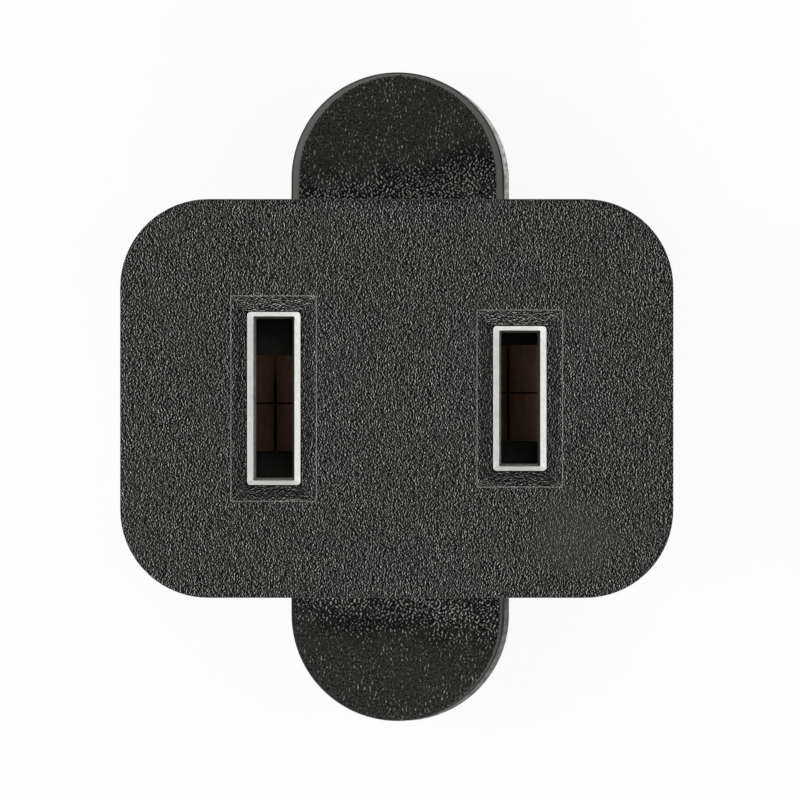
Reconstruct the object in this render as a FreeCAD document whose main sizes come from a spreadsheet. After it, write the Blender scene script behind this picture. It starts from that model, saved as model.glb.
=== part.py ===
import FreeCAD, Part
import math
import os
import Sketcher

# Female type A plug of the slide-on kind for flat two-wire cord, lying on its back.
# Millimetres. +Z points out of the face with the slots, +X runs along the cord, and the
# origin is on the floor under the middle of the face.
# The body and the sliding cover are mouldings; the two contacts are brass stampings.

DOC = FreeCAD.newDocument("FemalePlug")
SHEET = DOC.addObject("Spreadsheet::Sheet", "Sizes")

SIZES = {
    # Face of the body
    "face_length": 28.55,
    "face_width": 20.58,
    "corner_radius": 4.55,
    "face_edge_radius": 0.28,
    "rear_edge_chamfer": 0.15,
    "body_depth": 24.3,
    "body_draft": 0.5,
    # Slots for the two blades, and the sloped recess and smooth rim round each
    "blade_spacing": 12.7,
    "slot_width": 2.13,
    "neutral_slot_length": 8.49,
    "live_slot_length": 7.03,
    "slot_draft": 4.0,
    "slot_corner_radius": 0.06,
    "rim_width": 0.31,
    "rim_end_width": 0.22,
    "rim_depth": 0.35,
    "rim_corner_radius": 0.18,
    "rim_ledge": 0.05,
    "funnel_margin": 0.78,
    "funnel_depth": 0.35,
    "front_wall": 2.5,
    # Finger ears, one half on the body and one on the cover
    "ear_radius": 5.75,
    "ear_reach": 7.27,
    "body_ear_thickness": 2.4,
    "ear_root_radius": 2.0,
    "ear_root_lean": 3.0,
    "ear_edge_radius": 0.4,
    # Chambers behind the slots
    "blade_room": 0.25,
    "contact_play": 0.4,
    "chamber_corner_radius": 0.35,
    "coring_wall": 1.2,
    "coring_end_wall": 1.6,
    # Rails that the cover slides in
    "lip_thickness": 1.0,
    "lip_overhang": 1.2,
    "rail_height": 1.3,
    "rail_half_width": 7.4,
    "rail_end_wall": 1.6,
    "slide_gap": 0.1,
    "side_gap": 0.15,
    # Channel for the cord, with a lane for each wire
    "lane_radius": 1.3,
    "lane_width": 2.7,
    "lane_ridge": 0.2,
    "lane_ridge_drop": 1.4,
    "cord_room": 2.7,
    "breakout_web": 0.5,
    "cord_rib_width": 0.6,
    "cord_rib_height": 0.5,
    "cord_rib_inset": 0.8,
    "cord_rib_room": 0.625,
    # Sliding cover
    "cover_plate": 2.6,
    "cover_stop_gap": 0.3,
    "cover_sag": 0.08,
    "cover_back_chamfer": 0.5,
    "cover_front_chamfer": 0.25,
    "tongue_end_setback": 0.6,
    "tongue_lead_in": 0.5,
    "pad_height": 0.4,
    "pad_groove_depth": 0.3,
    "grip_width": 0.8,
    "grip_depth": 0.3,
    "grip_pitch": 1.7,
    "grip_length": 9.0,
    "grip_inset": 2.2,
    # Brass contacts
    "strip_thickness": 0.4,
    "strip_width": 5.0,
    "contact_half_span": 2.5,
    "bridge_bend_radius": 0.7,
    "shoulder_height": 4.0,
    "shoulder_radius": 3.0,
    "pinch_below_face": 6.5,
    "pinch_gap": 0.06,
    "pinch_radius": 0.9,
    "pinch_offset": 0.27,
    "flare_half_width": 1.65,
    "leaf_tip_gap": 0.3,
    "leaf_slit": 0.1,
    "leaf_slit_root": 5.0,
    "tooth_width": 1.6,
    "tooth_length": 1.95,
    "tooth_point": 1.2,
    "contact_shift_x": 0.28,
    "contact_shift_y": 0.27,
}

GRIP_COUNT = 5
CORD_RIB_COUNT = 3
TINY = 1e-6
SAME_PLACE = 1e-4
XY_PLANE = "XY_Plane"
XZ_PLANE = "XZ_Plane"
YZ_PLANE = "YZ_Plane"
EDGE_SIZES = {"Fillet": "Radius", "Chamfer": "Size"}


class Size:
    """A number together with the sheet expression that gives it."""

    def __init__(self, value, text):
        self.value = value
        self.text = text

    def __add__(self, other):
        other = as_size(other)
        return Size(self.value + other.value, f"({self.text} + {other.text})")

    def __sub__(self, other):
        other = as_size(other)
        return Size(self.value - other.value, f"({self.text} - {other.text})")

    def __mul__(self, factor):
        return Size(self.value * factor, f"({self.text} * {factor})")

    def __truediv__(self, divisor):
        return Size(self.value / divisor, f"({self.text} / {divisor})")

    def __neg__(self):
        return Size(-self.value, f"(0 - {self.text})")


def as_size(number):
    """Let a plain number stand where a size is wanted."""
    if isinstance(number, Size):
        return number
    return Size(float(number), repr(float(number)))


def rise_over_draft(run, degrees):
    """How far a wall leans out over a run, for a draft angle in degrees."""
    value = run.value * math.tan(math.radians(degrees.value))
    return Size(value, f"({run.text} * tan({degrees.text} * 1 deg))")


def slope_angle(across, down):
    """The angle from the vertical, in degrees, of a slope given by its run and drop."""
    value = math.degrees(math.atan(across.value / down.value))
    return Size(value, f"(atan({across.text} / {down.text}) / 1 deg)")


def fill_sheet():
    """Put each driving size in the sheet and return them by name."""
    sizes = {}
    for row, (name, value) in enumerate(SIZES.items(), start=1):
        cell = f"A{row}"
        SHEET.set(cell, str(value))
        SHEET.setAlias(cell, name)
        sizes[name] = Size(value, f"Sizes.{name}")
    DOC.recompute()
    return sizes


def bind(item, prop, size):
    """Tie a property of a feature to the sheet."""
    item.setExpression(prop, as_size(size).text)


def new_body(name):
    """Start a sub-part whose label is its node name."""
    body = DOC.addObject("PartDesign::Body", name)
    body.Label = name
    return body


def new_sketch(body, name, plane, offset=0):
    """Lay a sketch on one of the body's own origin planes, lifted along its normal."""
    sketch = body.newObject("Sketcher::SketchObject", name)
    planes = [item for item in body.Origin.OriginFeatures if item.Role == plane]
    sketch.AttachmentSupport = (planes[0], [""])
    sketch.MapMode = "FlatFace"
    bind(sketch, "AttachmentOffset.Base.z", offset)
    return sketch


def constrain(sketch, name, size, *arguments):
    """Add one dimension to a sketch and tie it to the sheet."""
    size = as_size(size)
    index = sketch.addConstraint(Sketcher.Constraint(*arguments, size.value))
    sketch.renameConstraint(index, name)
    sketch.setExpression(f"Constraints.{name}", size.text)


def pin_point(sketch, name, geometry, position, x, y):
    """Hold a point of a sketch at its distances from the origin."""
    for letter, kind, axis, size in (("x", "DistanceX", -2, x), ("y", "DistanceY", -1, y)):
        if isinstance(size, Size):
            constrain(sketch, f"{name}_{letter}", size, kind, -1, 1, geometry, position)
        else:
            sketch.addConstraint(Sketcher.Constraint("PointOnObject", geometry, position, axis))


def flat(x, y):
    return FreeCAD.Vector(as_size(x).value, as_size(y).value, 0)


def corner_arc(before, corner, after, radius):
    """The arc of a given radius that touches both legs of a corner."""
    to_before = (before - corner).normalize()
    to_after = (after - corner).normalize()
    half_angle = to_before.getAngle(to_after) / 2
    reach = radius / math.tan(half_angle)
    bisector = (to_before + to_after).normalize()
    centre = corner + bisector * (radius / math.sin(half_angle))
    start = corner + to_before * reach
    end = corner + to_after * reach
    middle = centre - bisector * radius
    return start, middle, end


def draw_outline(sketch, name, corners, closed=True):
    """Draw straight legs through corners (x, y) or (x, y, radius), rounding where asked."""
    count = len(corners)
    points = [flat(corner[0], corner[1]) for corner in corners]
    rounds = {}
    for i, corner in enumerate(corners):
        if len(corner) == 3:
            rounds[i] = corner_arc(points[i - 1], points[i], points[(i + 1) % count], corner[2].value)
    legs = []
    for i in range(count if closed else count - 1):
        after = (i + 1) % count
        start = rounds[i][2] if i in rounds else points[i]
        end = rounds[after][0] if after in rounds else points[after]
        legs.append(sketch.addGeometry(Part.LineSegment(start, end), False))
    for i, corner in enumerate(corners):
        tag = f"{name}_{i}"
        first = closed or i > 0
        last = closed or i < count - 1
        if i in rounds:
            arc = sketch.addGeometry(Part.Arc(*rounds[i]), False)
            turn = (points[i] - points[i - 1]).cross(points[(i + 1) % count] - points[i])
            arc_start, arc_end = (1, 2) if turn.z > 0 else (2, 1)
            peg = sketch.addGeometry(Part.Point(points[i]), True)
            sketch.addConstraint(Sketcher.Constraint("Tangent", legs[i - 1], 2, arc, arc_start))
            sketch.addConstraint(Sketcher.Constraint("Tangent", arc, arc_end, legs[i], 1))
            sketch.addConstraint(Sketcher.Constraint("PointOnObject", peg, 1, legs[i - 1]))
            sketch.addConstraint(Sketcher.Constraint("PointOnObject", peg, 1, legs[i]))
            constrain(sketch, f"{tag}_r", corner[2], "Radius", arc)
            pin_point(sketch, tag, peg, 1, corner[0], corner[1])
        else:
            if first and last:
                sketch.addConstraint(Sketcher.Constraint("Coincident", legs[i - 1], 2, legs[i], 1))
            if last:
                pin_point(sketch, tag, legs[i], 1, corner[0], corner[1])
            else:
                pin_point(sketch, tag, legs[i - 1], 2, corner[0], corner[1])


def draw_rectangle(sketch, name, x_low, x_high, y_low, y_high, radius=None):
    corners = [(x_low, y_low), (x_high, y_low), (x_high, y_high), (x_low, y_high)]
    if radius is not None:
        corners = [(x, y, radius) for x, y in corners]
    draw_outline(sketch, name, corners)


def draw_centred_rectangle(sketch, name, x_mid, half_x, half_y, radius=None):
    draw_rectangle(sketch, name, x_mid - half_x, x_mid + half_x, -half_y, half_y, radius)


def draw_stadium(sketch, x_mid, radius, reach):
    """Two half circles along Y joined by straight sides, for the pair of ears."""
    mid = as_size(x_mid)
    left = mid.value - radius.value
    right = mid.value + radius.value
    y = reach.value - radius.value
    up = sketch.addGeometry(Part.LineSegment(flat(right, -y), flat(right, y)), False)
    top = sketch.addGeometry(Part.Arc(flat(right, y), flat(mid, reach), flat(left, y)), False)
    down = sketch.addGeometry(Part.LineSegment(flat(left, y), flat(left, -y)), False)
    bottom = sketch.addGeometry(Part.Arc(flat(left, -y), flat(mid, -reach), flat(right, -y)), False)
    loop = (up, top, down, bottom)
    for i, item in enumerate(loop):
        sketch.addConstraint(Sketcher.Constraint("Tangent", item, 2, loop[(i + 1) % 4], 1))
    sketch.addConstraint(Sketcher.Constraint("Vertical", up))
    constrain(sketch, "ear_radius", radius, "Radius", top)
    pin_point(sketch, "upper_ear", top, 3, x_mid, reach - radius)
    pin_point(sketch, "lower_ear", bottom, 3, x_mid, radius - reach)


def finish_feature(body, feature, volume_before, adds):
    """Rebuild and make sure that the feature did what its name says."""
    DOC.recompute()
    if "Invalid" in feature.State or "Error" in feature.State or feature.Shape.isNull():
        raise RuntimeError(f"{body.Label}: {feature.Label} failed")
    change = feature.Shape.Volume - volume_before
    if (change if adds else -change) < TINY:
        raise RuntimeError(f"{body.Label}: {feature.Label} changed the volume by {change}")
    return feature


def body_volume(body):
    return body.Shape.Volume if body.Tip is not None and not body.Shape.isNull() else 0.0


def extrude(body, kind, name, sketch, length, backwards=False, both_ways=False, taper=None):
    """A pad or a pocket of the sketch, with its length and taper tied to the sheet."""
    volume_before = body_volume(body)
    feature = body.newObject(f"PartDesign::{kind}", name)
    feature.Profile = sketch
    feature.Reversed = backwards
    feature.Midplane = both_ways
    bind(feature, "Length", length)
    if taper is not None:
        bind(feature, "TaperAngle", taper)
    return finish_feature(body, feature, volume_before, kind == "Pad")


def dress(body, kind, name, base, edges, size):
    """Round or chamfer some outer edges of a feature."""
    if not edges:
        raise RuntimeError(f"{body.Label}: {name} found no edges")
    volume_before = body_volume(body)
    feature = body.newObject(f"PartDesign::{kind}", name)
    feature.Base = (base, edges)
    bind(feature, EDGE_SIZES[kind], size)
    return finish_feature(body, feature, volume_before, adds=False)


def repeat_leftwards(body, name, feature, sketch, count, row, adds):
    """An even row of copies of a feature, which ends a given length further towards -X."""
    volume_before = body_volume(body)
    pattern = body.newObject("PartDesign::LinearPattern", name)
    pattern.Originals = [feature]
    pattern.Direction = (sketch, ["H_Axis"])
    pattern.Reversed = True
    pattern.Occurrences = count
    bind(pattern, "Length", row)
    body.Tip = pattern
    finish_feature(body, pattern, volume_before, adds)


def pick_edges(feature, test):
    """Names of the edges whose bounding box and length pass a test."""
    return [f"Edge{i}" for i, edge in enumerate(feature.Shape.Edges, start=1) if test(edge)]


def loft_through(body, name, sketches):
    """Cut away what lies between outlines at several heights, straight from each to the next."""
    volume_before = body_volume(body)
    feature = body.newObject("PartDesign::SubtractiveLoft", name)
    feature.Profile = sketches[0]
    feature.Sections = sketches[1:]
    feature.Ruled = True
    finish_feature(body, feature, volume_before, adds=False)


def near(a, b):
    return abs(a - b) < SAME_PLACE


def at_height(edge, height):
    box = edge.BoundBox
    return near(box.ZMin, height.value) and near(box.ZMax, height.value)


class Plan:
    """Heights and widths that several pieces share, worked out from the driving sizes."""

    def __init__(self, s):
        self.half_length = s["face_length"] / 2
        self.half_width = s["face_width"] / 2
        self.rear = s["cover_plate"] + s["slide_gap"]
        self.face = self.rear + s["body_depth"]
        self.roof = self.face - s["front_wall"]
        draft_run = rise_over_draft(s["body_depth"], s["body_draft"])
        self.rear_half_length = self.half_length + draft_run
        self.rear_half_width = self.half_width + draft_run
        self.through = self.rear_half_length * 2
        self.ear_tip = self.half_width + s["ear_reach"]
        self.ear_top = self.rear + s["body_ear_thickness"]
        self.lip_top = self.rear + s["lip_thickness"]
        self.rail_roof = self.lip_top + s["rail_height"]
        self.lip_half_width = s["rail_half_width"] - s["lip_overhang"]
        self.rail_start = s["rail_end_wall"] - self.half_length
        self.cord_top = self.rail_roof + s["cord_room"]
        self.channel_half_width = s["lane_width"] + s["lane_ridge"] / 2
        self.lane_middle = (s["lane_width"] + s["lane_ridge"]) / 2
        self.blade_half_spacing = s["blade_spacing"] / 2
        self.blade_way_half_width = s["slot_width"] / 2 + s["blade_room"]
        self.contact_way_half_x = s["contact_half_span"] + s["contact_play"]
        self.contact_way_half_y = s["strip_width"] / 2 + s["contact_play"]
        self.slots = (
            ("neutral", -self.blade_half_spacing, s["neutral_slot_length"] / 2),
            ("live", self.blade_half_spacing, s["live_slot_length"] / 2),
        )


def make_ears(body, s, plan):
    """The front halves of both ears, each rising to the block in a hollow curve."""
    sketch = new_sketch(body, "ear_outline", XY_PLANE, plan.rear)
    draw_stadium(sketch, 0, s["ear_radius"], plan.ear_tip)
    rise = s["body_ear_thickness"] + s["ear_root_radius"]
    extrude(body, "Pad", "ear_blanks", sketch, rise)
    wall = plan.half_width + rise_over_draft(plan.face - plan.ear_top, s["body_draft"])
    lean_in = wall - rise_over_draft(plan.face - plan.ear_top, s["ear_root_lean"])
    beyond = plan.ear_tip + s["ear_radius"]
    sketch = new_sketch(body, "ear_hollow_section", YZ_PLANE)
    for name, sign in (("upper", 1), ("lower", -1)):
        draw_outline(sketch, name, [
            (lean_in * sign, plan.face), (wall * sign, plan.ear_top, s["ear_root_radius"]),
            (beyond * sign, plan.ear_top), (beyond * sign, plan.face)])
    hollows = extrude(body, "Pocket", "ear_hollows", sketch, plan.through, both_ways=True)

    def ear_rim(edge):
        box = edge.BoundBox
        outside = max(box.YMax, -box.YMin) > plan.ear_tip.value - TINY
        return at_height(edge, plan.ear_top) and outside

    dress(body, "Fillet", "ear_edges", hollows, pick_edges(hollows, ear_rim), s["ear_edge_radius"])


def make_block(body, s, plan):
    """The rounded block with its draft, widest at the back, over the ears."""
    sketch = new_sketch(body, "face_outline", XY_PLANE, plan.face)
    draw_centred_rectangle(
        sketch, "face", as_size(0), plan.half_length, plan.half_width, s["corner_radius"])
    block = extrude(body, "Pad", "block", sketch, s["body_depth"], backwards=True,
                    taper=s["body_draft"])
    front = dress(body, "Fillet", "face_edge", block,
                  pick_edges(block, lambda edge: at_height(edge, plan.face)),
                  s["face_edge_radius"])
    dress(body, "Chamfer", "rear_edge", front,
          pick_edges(front, lambda edge: at_height(edge, plan.rear)), s["rear_edge_chamfer"])


def cut_slots(body, s, plan):
    """Each slot: a sloped recess, a smooth rim that slopes steeper, and a throat that narrows."""
    recess_floor = plan.face - s["funnel_depth"]
    rim_floor = recess_floor - s["rim_depth"]
    beyond_rim = s["rim_ledge"] + s["funnel_margin"]
    sketch = new_sketch(body, "funnel_outlines", XY_PLANE, plan.face)
    for side, x, half_length in plan.slots:
        draw_centred_rectangle(
            sketch, side, x, s["slot_width"] / 2 + s["rim_width"] + beyond_rim,
            half_length + s["rim_end_width"] + beyond_rim)
    extrude(body, "Pocket", "funnels", sketch, s["funnel_depth"],
            taper=-slope_angle(s["funnel_margin"], s["funnel_depth"]))
    narrowing = -rise_over_draft(rim_floor - plan.roof, s["slot_draft"])
    steps = (
        ("rim", recess_floor, s["rim_width"], s["rim_end_width"], s["rim_corner_radius"]),
        ("slot", rim_floor, as_size(0), as_size(0), s["slot_corner_radius"]),
        ("throat", plan.roof, narrowing, narrowing, s["slot_corner_radius"]),
    )
    for side, x, half_length in plan.slots:
        sketches = []
        for name, height, widening, lengthening, radius in steps:
            sketch = new_sketch(body, f"{side}_{name}_outline", XY_PLANE, height)
            draw_centred_rectangle(sketch, side, x, s["slot_width"] / 2 + widening,
                                   half_length + lengthening, radius)
            sketches.append(sketch)
        loft_through(body, f"{side}_rim_and_throat", sketches)


def cut_chambers(body, s, plan):
    """From the back: a way for each contact, a way for each blade, and the coring between."""
    depth = plan.roof - plan.rear
    sketch = new_sketch(body, "contact_way_outlines", XY_PLANE, plan.rear)
    for side, x, _ in plan.slots:
        draw_centred_rectangle(sketch, side, x, plan.contact_way_half_x, plan.contact_way_half_y,
                               s["chamber_corner_radius"])
    extrude(body, "Pocket", "contact_ways", sketch, depth, backwards=True)
    sketch = new_sketch(body, "blade_way_outlines", XY_PLANE, plan.rear)
    for side, x, half_length in plan.slots:
        draw_centred_rectangle(
            sketch, side, x, plan.blade_way_half_width, half_length + s["blade_room"])
    extrude(body, "Pocket", "blade_ways", sketch, depth, backwards=True)
    sketch = new_sketch(body, "coring_outlines", XY_PLANE, plan.rear)
    beside_blade = plan.blade_way_half_width + s["coring_wall"]
    inner = plan.blade_half_spacing - beside_blade
    outer = plan.blade_half_spacing + beside_blade
    end = plan.half_length - s["coring_end_wall"]
    low = plan.contact_way_half_y + s["coring_wall"]
    high = plan.lip_half_width - s["side_gap"]
    spans = (("left", -end, -outer), ("middle", -inner, inner), ("right", outer, end))
    for name, x_low, x_high in spans:
        draw_rectangle(sketch, f"{name}_upper", x_low, x_high, low, high)
        draw_rectangle(sketch, f"{name}_lower", x_low, x_high, -high, -low)
    extrude(body, "Pocket", "coring", sketch, depth, backwards=True)


def cut_rails_and_channel(body, s, plan):
    """The T-shaped rails, closed by the stop wall, and the two-lane channel over them."""
    lip = plan.lip_half_width
    rail = s["rail_half_width"]
    sketch = new_sketch(body, "rail_section", YZ_PLANE, plan.rail_start)
    draw_outline(sketch, "rail", [
        (-lip, plan.rear), (lip, plan.rear), (lip, plan.lip_top), (rail, plan.lip_top),
        (rail, plan.rail_roof), (-rail, plan.rail_roof), (-rail, plan.lip_top), (-lip, plan.lip_top)])
    extrude(body, "Pocket", "rails", sketch, plan.through, backwards=True)
    wide = plan.channel_half_width
    ridge = s["lane_ridge"] / 2
    radius = s["lane_radius"]
    ridge_top = plan.cord_top - s["lane_ridge_drop"]
    sketch = new_sketch(body, "channel_section", YZ_PLANE, s["breakout_web"] - plan.half_length)
    draw_outline(sketch, "lane", [
        (-wide, plan.rail_roof), (wide, plan.rail_roof), (wide, plan.cord_top, radius),
        (ridge, plan.cord_top, radius), (ridge, ridge_top), (-ridge, ridge_top),
        (-ridge, plan.cord_top, radius), (-wide, plan.cord_top, radius)])
    extrude(body, "Pocket", "cord_channel", sketch, plan.through, backwards=True)


def add_cord_ribs(body, s, plan):
    """Ribs across the crowns of both lanes by the cord's way out, which bite its insulation."""
    right = plan.half_length - s["cord_rib_inset"]
    chamber_end = plan.blade_half_spacing + plan.contact_way_half_x
    row = right - s["cord_rib_width"] - s["cord_rib_room"] - chamber_end
    sketch = new_sketch(body, "cord_rib_outline", XY_PLANE, plan.cord_top)
    draw_rectangle(sketch, "rib", right - s["cord_rib_width"], right, -plan.channel_half_width,
                   plan.channel_half_width)
    rib = extrude(body, "Pad", "cord_rib", sketch, s["cord_rib_height"], backwards=True)
    repeat_leftwards(body, "cord_ribs", rib, sketch, CORD_RIB_COUNT, row, adds=True)


def make_socket_body(s, plan):
    body = new_body("socket_body")
    make_ears(body, s, plan)
    make_block(body, s, plan)
    cut_slots(body, s, plan)
    cut_chambers(body, s, plan)
    cut_rails_and_channel(body, s, plan)
    add_cord_ribs(body, s, plan)
    return body


def make_cover_plate(body, s, plan):
    """The back plate with the rear ear halves, bevelled behind and in front."""
    sketch = new_sketch(body, "plate_outline", XY_PLANE)
    draw_centred_rectangle(sketch, "plate", s["cover_stop_gap"], plan.rear_half_length,
                           plan.rear_half_width, s["corner_radius"])
    extrude(body, "Pad", "plate", sketch, s["cover_plate"])
    sketch = new_sketch(body, "cover_ear_outline", XY_PLANE)
    draw_stadium(sketch, s["cover_stop_gap"], s["ear_radius"], plan.ear_tip)
    ears = extrude(body, "Pad", "cover_ears", sketch, s["cover_plate"])
    back = dress(body, "Chamfer", "back_edge", ears,
                 pick_edges(ears, lambda edge: at_height(edge, as_size(0))),
                 s["cover_back_chamfer"])
    dress(body, "Chamfer", "front_edge", back,
          pick_edges(back, lambda edge: at_height(edge, s["cover_plate"])),
          s["cover_front_chamfer"])


def make_tongue(body, s, plan):
    """The T-shaped tongue, with the raised pad whose two grooves carry the cord's wires."""
    start = plan.rail_start + s["cover_stop_gap"]
    end = plan.half_length + s["cover_stop_gap"] - s["tongue_end_setback"]
    neck = plan.lip_half_width - s["side_gap"]
    head = s["rail_half_width"] - s["side_gap"]
    pad = plan.channel_half_width - s["side_gap"]
    head_low = plan.lip_top + s["slide_gap"]
    head_top = plan.rail_roof - s["slide_gap"]
    pad_top = head_top + s["pad_height"]
    sketch = new_sketch(body, "tongue_section", YZ_PLANE, start)
    draw_outline(sketch, "tongue", [
        (-neck, s["cover_plate"]), (neck, s["cover_plate"]), (neck, head_low), (head, head_low),
        (head, head_top), (pad, head_top), (pad, pad_top), (-pad, pad_top), (-pad, head_top),
        (-head, head_top), (-head, head_low), (-neck, head_low)])
    tongue = extrude(body, "Pad", "tongue", sketch, end - start)

    def lead_edge(edge):
        box = edge.BoundBox
        at_start = near(box.XMin, start.value) and near(box.XMax, start.value)
        upright = near(box.YMin, box.YMax) and near(abs(box.YMin), head.value)
        return at_start and upright

    dress(body, "Chamfer", "tongue_lead_in", tongue, pick_edges(tongue, lead_edge),
          s["tongue_lead_in"])
    sketch = new_sketch(body, "wire_grooves_section", YZ_PLANE, start)
    groove_middle = pad_top - s["pad_groove_depth"] + s["lane_radius"]
    for name, y in (("lower", -plan.lane_middle), ("upper", plan.lane_middle)):
        circle = Part.Circle(flat(y, groove_middle), FreeCAD.Vector(0, 0, 1), s["lane_radius"].value)
        index = sketch.addGeometry(circle, False)
        constrain(sketch, f"{name}_radius", s["lane_radius"], "Radius", index)
        pin_point(sketch, name, index, 3, y, groove_middle)
    extrude(body, "Pocket", "wire_grooves", sketch, end - start, backwards=True)


def cut_grip(body, s, plan):
    """A row of shallow grooves across the back, for the thumb that slides the cover."""
    right = plan.rear_half_length + s["cover_stop_gap"] - s["grip_inset"]
    half = s["grip_length"] / 2
    sketch = new_sketch(body, "grip_groove_outline", XY_PLANE)
    draw_rectangle(sketch, "grip", right - s["grip_width"], right, -half, half)
    groove = extrude(body, "Pocket", "grip_groove", sketch, s["grip_depth"], backwards=True)
    row = s["grip_pitch"] * (GRIP_COUNT - 1)
    repeat_leftwards(body, "grip_grooves", groove, sketch, GRIP_COUNT, row, adds=False)


def make_slide_cover(s, plan):
    body = new_body("slide_cover")
    make_cover_plate(body, s, plan)
    make_tongue(body, s, plan)
    cut_grip(body, s, plan)
    bind(body, "Placement.Base.y", -s["cover_sag"])
    DOC.recompute()
    return body


def make_leaf(body, s, plan, side):
    """One half of the bent strip: bridge, upright, inward lean to the pinch, and flare."""
    name = "right" if side > 0 else "left"
    half_strip = s["strip_thickness"] / 2
    bridge = plan.cord_top + half_strip
    span = (s["contact_half_span"] - half_strip) * side
    pinch = s["pinch_offset"] + (s["pinch_gap"] / 2 + half_strip) * side
    tip = s["pinch_offset"] + s["flare_half_width"] * side
    path = new_sketch(body, f"{name}_leaf_path", XZ_PLANE)
    draw_outline(path, "leaf", [
        (0, bridge),
        (span, bridge, s["bridge_bend_radius"]),
        (span, plan.cord_top + s["shoulder_height"], s["shoulder_radius"]),
        (pinch, plan.face - s["pinch_below_face"], s["pinch_radius"]),
        (tip, plan.roof - s["leaf_tip_gap"])], closed=False)
    section = new_sketch(body, f"{name}_strip_section", YZ_PLANE)
    half_width = s["strip_width"] / 2
    draw_rectangle(section, "strip", -half_width, half_width, plan.cord_top,
                   plan.cord_top + s["strip_thickness"])
    volume_before = body_volume(body)
    leaf = body.newObject("PartDesign::AdditivePipe", f"{name}_leaf")
    leaf.Profile = section
    leaf.Spine = (path, [f"Edge{i}" for i in range(1, len(path.Shape.Edges) + 1)])
    finish_feature(body, leaf, volume_before, adds=True)


def make_contact(name, s, plan, turn):
    """A brass stamping: two sprung leaves split into fingers, and a tooth for the wire."""
    body = new_body(name)
    for side in (-1, 1):
        make_leaf(body, s, plan, side)
    half_slit = s["leaf_slit"] / 2
    sketch = new_sketch(body, "finger_slit_outline", YZ_PLANE)
    draw_rectangle(sketch, "slit", -half_slit, half_slit,
                   plan.cord_top + s["leaf_slit_root"], plan.roof)
    extrude(body, "Pocket", "finger_slits", sketch, plan.through, both_ways=True)
    tooth_middle = s["contact_shift_y"] - plan.lane_middle
    half_strip = s["strip_thickness"] / 2
    half_tooth = s["tooth_width"] / 2
    sketch = new_sketch(body, "tooth_window_outline", XY_PLANE, plan.cord_top)
    draw_rectangle(sketch, "window", -half_tooth, half_tooth, tooth_middle + half_strip,
                   tooth_middle + half_strip + s["tooth_length"])
    extrude(body, "Pocket", "tooth_window", sketch, s["strip_thickness"], backwards=True)
    sketch = new_sketch(body, "tooth_outline", XZ_PLANE, -tooth_middle)
    tip = plan.cord_top - s["tooth_length"]
    base = plan.cord_top + half_strip
    neck = tip + s["tooth_point"]
    draw_outline(sketch, "tooth", [
        (-half_tooth, base), (-half_tooth, neck), (0, tip), (half_tooth, neck), (half_tooth, base)])
    extrude(body, "Pad", "tooth", sketch, s["strip_thickness"], both_ways=True)
    bind(body, "Placement.Base.x", plan.blade_half_spacing * turn - s["contact_shift_x"])
    bind(body, "Placement.Base.y", s["contact_shift_y"] * turn)
    if turn > 0:
        body.Placement.Rotation = FreeCAD.Rotation(FreeCAD.Vector(0, 0, 1), 180)
    DOC.recompute()
    return body


def write_part(body):
    """Check a sub-part and write its shape to the file of its node."""
    shape = body.Shape
    if shape.isNull() or not shape.isValid() or len(shape.Solids) != 1:
        raise RuntimeError(f"{body.Label} is not one valid solid")
    shape.exportStep(os.path.join("parts", f"{body.Label}.step"))
    print(f"{body.Label}: {shape.Volume:.2f} mm3")


def main():
    sizes = fill_sheet()
    plan = Plan(sizes)
    bodies = [
        make_socket_body(sizes, plan),
        make_slide_cover(sizes, plan),
        make_contact("neutral_contact", sizes, plan, -1),
        make_contact("live_contact", sizes, plan, 1),
    ]
    DOC.recompute()
    for item in DOC.Objects:
        if "Invalid" in item.State or "Error" in item.State:
            raise RuntimeError(f"{item.Label} failed")
    os.makedirs("parts", exist_ok=True)
    for body in bodies:
        write_part(body)


main()
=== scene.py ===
import math

import bpy
import numpy as np
from bpy.props import FloatProperty, FloatVectorProperty, PointerProperty
from mathutils import Matrix, Vector


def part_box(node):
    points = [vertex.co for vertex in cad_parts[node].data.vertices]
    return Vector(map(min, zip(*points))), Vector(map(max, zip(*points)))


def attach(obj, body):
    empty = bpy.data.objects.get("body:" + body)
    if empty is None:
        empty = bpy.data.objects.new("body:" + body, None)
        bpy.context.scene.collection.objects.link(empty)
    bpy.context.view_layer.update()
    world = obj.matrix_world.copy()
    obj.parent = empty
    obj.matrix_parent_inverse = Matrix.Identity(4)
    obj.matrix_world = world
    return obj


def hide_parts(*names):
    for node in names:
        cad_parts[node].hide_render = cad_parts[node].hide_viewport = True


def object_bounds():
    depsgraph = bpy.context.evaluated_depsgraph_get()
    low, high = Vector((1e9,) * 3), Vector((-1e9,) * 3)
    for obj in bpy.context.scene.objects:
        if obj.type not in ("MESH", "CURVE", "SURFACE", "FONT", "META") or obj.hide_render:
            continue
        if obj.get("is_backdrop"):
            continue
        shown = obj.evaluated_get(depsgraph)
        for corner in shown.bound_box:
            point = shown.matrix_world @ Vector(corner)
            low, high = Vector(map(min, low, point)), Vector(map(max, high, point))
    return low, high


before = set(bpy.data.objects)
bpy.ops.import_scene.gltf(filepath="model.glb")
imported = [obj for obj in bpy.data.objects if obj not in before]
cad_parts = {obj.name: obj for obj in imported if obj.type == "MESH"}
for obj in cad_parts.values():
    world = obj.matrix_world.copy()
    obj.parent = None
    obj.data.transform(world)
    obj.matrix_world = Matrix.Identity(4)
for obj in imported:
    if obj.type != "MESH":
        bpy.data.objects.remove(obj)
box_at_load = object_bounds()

bl_info = {
    "name": "Female plug finishes",
    "version": (1, 0, 0),
    "blender": (4, 5, 0),
    "location": "View3D > Sidebar > Plug",
    "description": "Moulded plastic, pale slot rims and stamped brass for a slide-on female plug",
    "category": "Object",
}

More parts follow.
